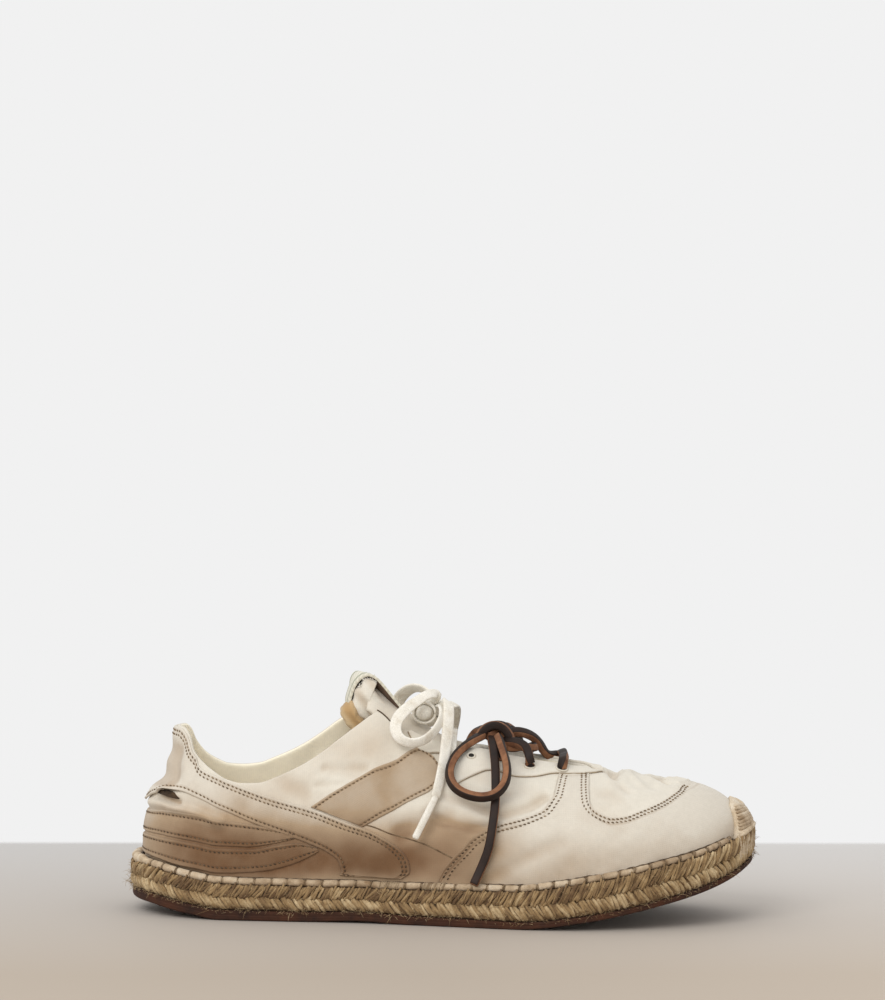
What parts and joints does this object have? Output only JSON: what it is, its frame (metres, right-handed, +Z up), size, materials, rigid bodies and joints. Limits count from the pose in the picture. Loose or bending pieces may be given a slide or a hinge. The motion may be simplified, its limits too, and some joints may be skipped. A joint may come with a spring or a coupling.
{
  "type": "canvas sneaker",
  "caption": "Low canvas sneaker on a coiled jute sole, with sewn overlays, a tongue with a pull loop, a leather lace tied in a bow and a cotton tape lace above it.",
  "frame": {"origin": "middle of the shoe's box at floor level, without the free laces", "axes": "+X from heel to toe, +Z up, -Y the outer (lateral) side of a right foot"},
  "size_m": [0.267, 0.0974, 0.1074],
  "materials": {
    "rubber": "matt brown crepe-like rubber",
    "jute": "twisted jute cord, fuzzy",
    "cream_canvas": "plain-weave cotton canvas",
    "sand_canvas": "plain-weave cotton canvas",
    "webbing": "narrow cotton webbing",
    "leather": "waxed brown leather thong",
    "tape": "soft cotton tape"
  },
  "bodies": {
    "root": {"outsole": "rubber", "jute_sole": "jute", "rand_cord": "jute", "toe_bumper": "jute", "insole": "sand_canvas", "upper": "cream_canvas", "heel_strap": "sand_canvas", "counter_upper": "sand_canvas", "counter_lower": "sand_canvas", "saddle_lateral": "sand_canvas", "saddle_medial": "sand_canvas", "eyestay": "cream_canvas", "toe_guard": "cream_canvas", "tongue": "cream_canvas", "tongue_loop": "webbing", "leather_lace_bars": "leather", "leather_lace_knot": "leather", "leather_lace_loop": "leather", "leather_lace_end": "leather", "leather_lace_far_loop": "leather", "leather_lace_far_end": "leather", "tape_lace_bar": "tape", "tape_lace_knot": "tape", "tape_lace_loop": "tape", "tape_lace_end": "tape", "tape_lace_tip": "tape", "tape_lace_far_loop": "tape", "tape_lace_far_end": "tape", "tape_lace_far_tip": "tape"}
  },
  "joints": []
}
